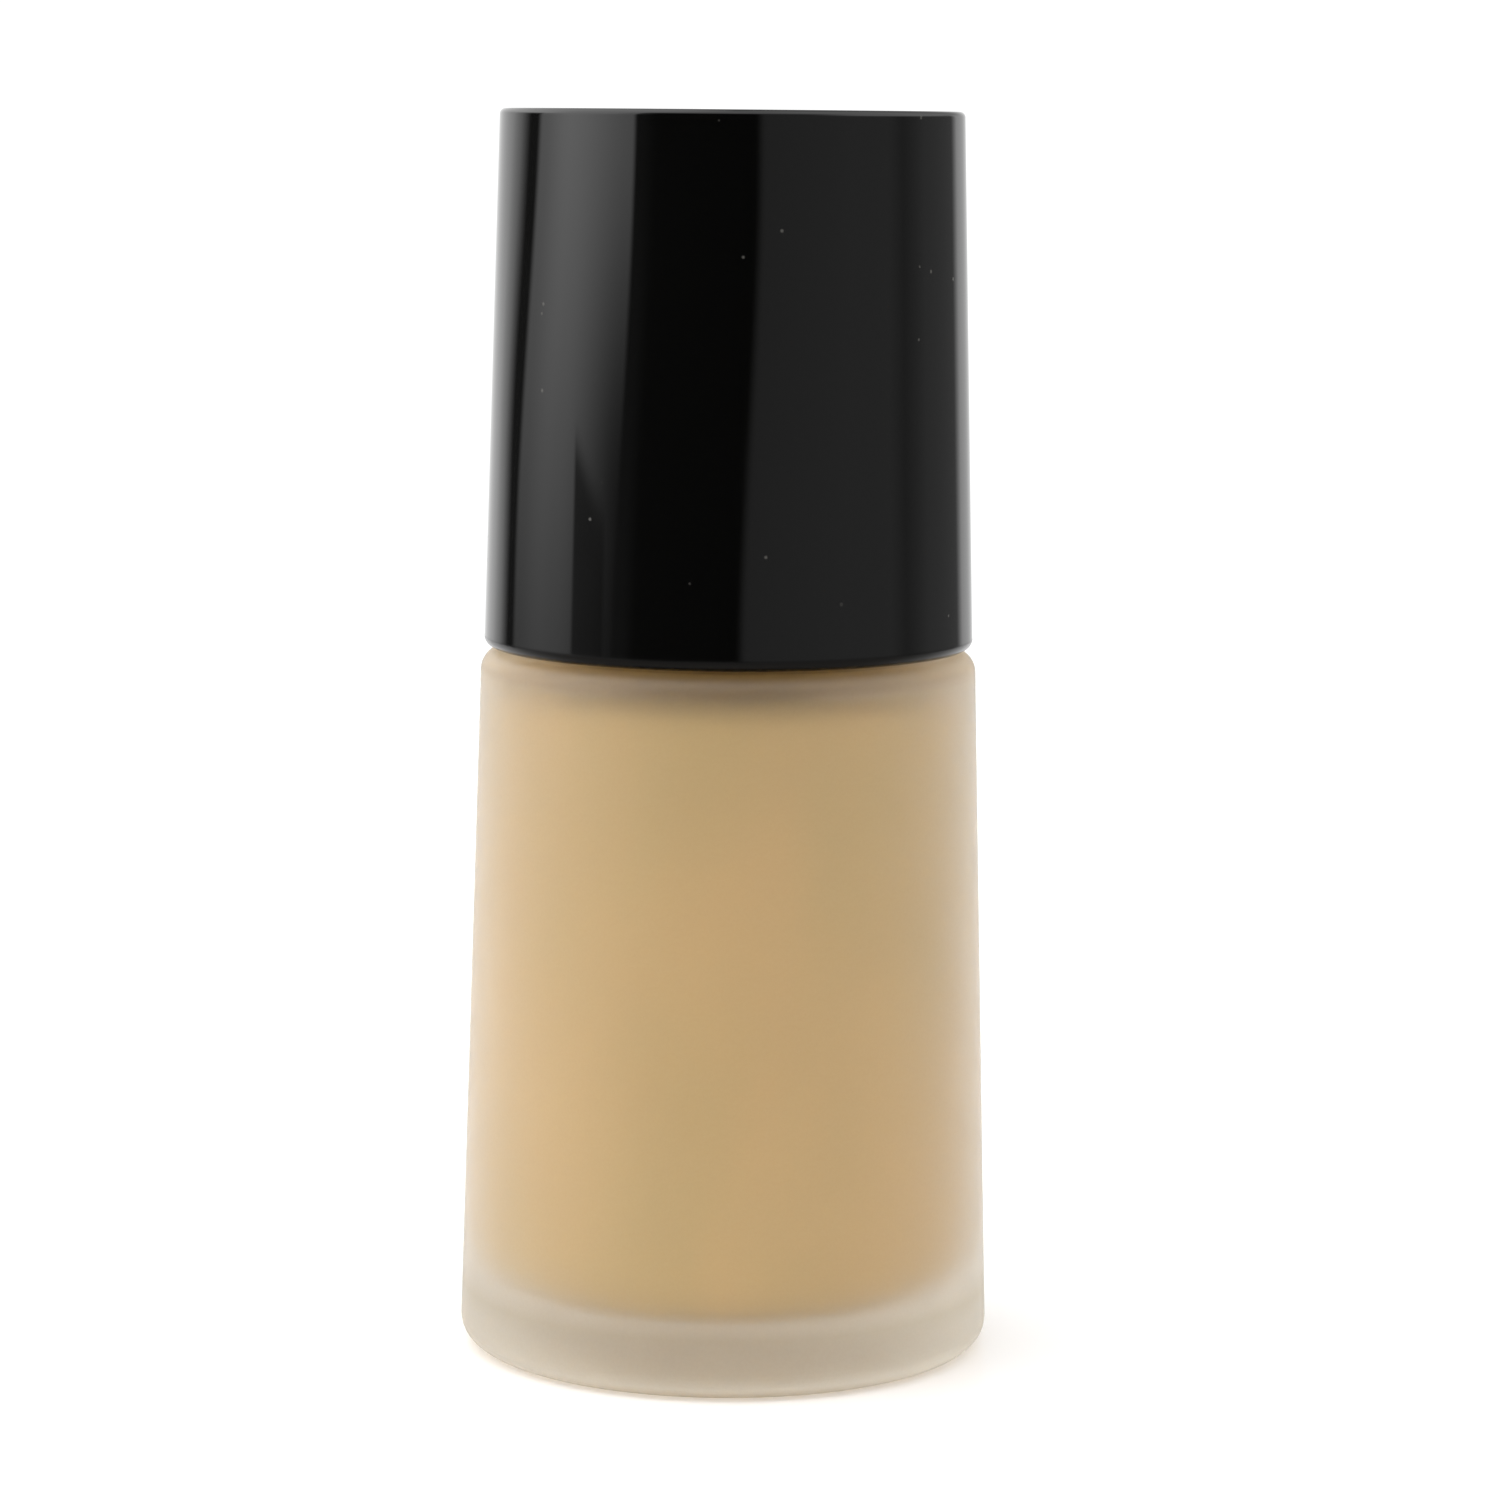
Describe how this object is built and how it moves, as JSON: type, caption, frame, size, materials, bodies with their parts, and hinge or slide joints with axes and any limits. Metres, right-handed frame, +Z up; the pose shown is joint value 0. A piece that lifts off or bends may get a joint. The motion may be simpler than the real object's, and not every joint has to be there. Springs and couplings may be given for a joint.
{
  "type": "foundation bottle",
  "caption": "Round frosted glass bottle of liquid foundation with a thick base, a screw-on treatment pump and a tall pull-off gloss black cap",
  "frame": {"origin": "centre of the base, in the plane it stands on", "axes": "+Z up along the bottle's axis; the spout points to -Y; +X to the right seen from the spout's side"},
  "size_m": [0.04, 0.04, 0.0928],
  "materials": {
    "frosted_glass": "acid-etched satin outside, clear inside",
    "foundation_liquid": "opaque cream seen through the glass",
    "gloss_black": "high gloss",
    "satin_black": "moulded, satin",
    "natural_plastic": "uncoloured translucent plastic",
    "seal_white": "soft white plastic",
    "steel": "drawn stainless wire and ground balls"
  },
  "bodies": {
    "glass": {"bottle": "frosted_glass", "foundation_fill": "foundation_liquid"},
    "pump": {"neck_gasket": "seal_white", "pump_housing": "natural_plastic", "dip_tube": "natural_plastic", "housing_cap": "satin_black", "stem_seal": "seal_white", "return_spring": "steel"},
    "closure": {"screw_closure": "satin_black", "collar_sleeve": "gloss_black"},
    "cap": {"cap_shell": "gloss_black", "cap_liner": "satin_black"},
    "plunger": {"piston": "seal_white"},
    "actuator": {"stem": "seal_white", "piston_retainer": "satin_black", "actuator_core": "satin_black", "actuator_shell": "gloss_black", "nozzle_insert": "satin_black"},
    "inlet_valve": {"inlet_ball": "steel"},
    "outlet_valve": {"outlet_ball": "steel"}
  },
  "joints": [
    {"name": "pump_lift", "type": "slide", "parent": "glass", "child": "pump", "axis": [0, 0, 1], "range_m": [0, 0.00572]},
    {"name": "closure_turn", "type": "hinge", "parent": "pump", "child": "closure", "pos_m": [0, 0, 0.065], "axis": [0, 0, 1], "range_deg": [0, 648]},
    {"name": "cap_lift", "type": "slide", "parent": "closure", "child": "cap", "axis": [0, 0, 1], "range_m": [0, 0.045]},
    {"name": "pump_press", "type": "slide", "parent": "pump", "child": "plunger", "axis": [0, 0, -1], "range_m": [0, 0.0045], "stiffness_N_per_m": 1200, "springref_m": -0.004, "deforming": ["return_spring"]},
    {"name": "actuator_swivel", "type": "hinge", "parent": "plunger", "child": "actuator", "pos_m": [0, 0, 0.08], "axis": [0, 0, 1], "continuous": true},
    {"name": "inlet_rise", "type": "slide", "parent": "pump", "child": "inlet_valve", "axis": [0, 0, 1], "range_m": [0, 0.0007]},
    {"name": "outlet_rise", "type": "slide", "parent": "actuator", "child": "outlet_valve", "axis": [0, 0, 1], "range_m": [0, 0.0007]}
  ],
  "couplings": [
    {"joint": "pump_lift", "follows": "closure_turn", "m_per_rad": 0.00050532}
  ]
}
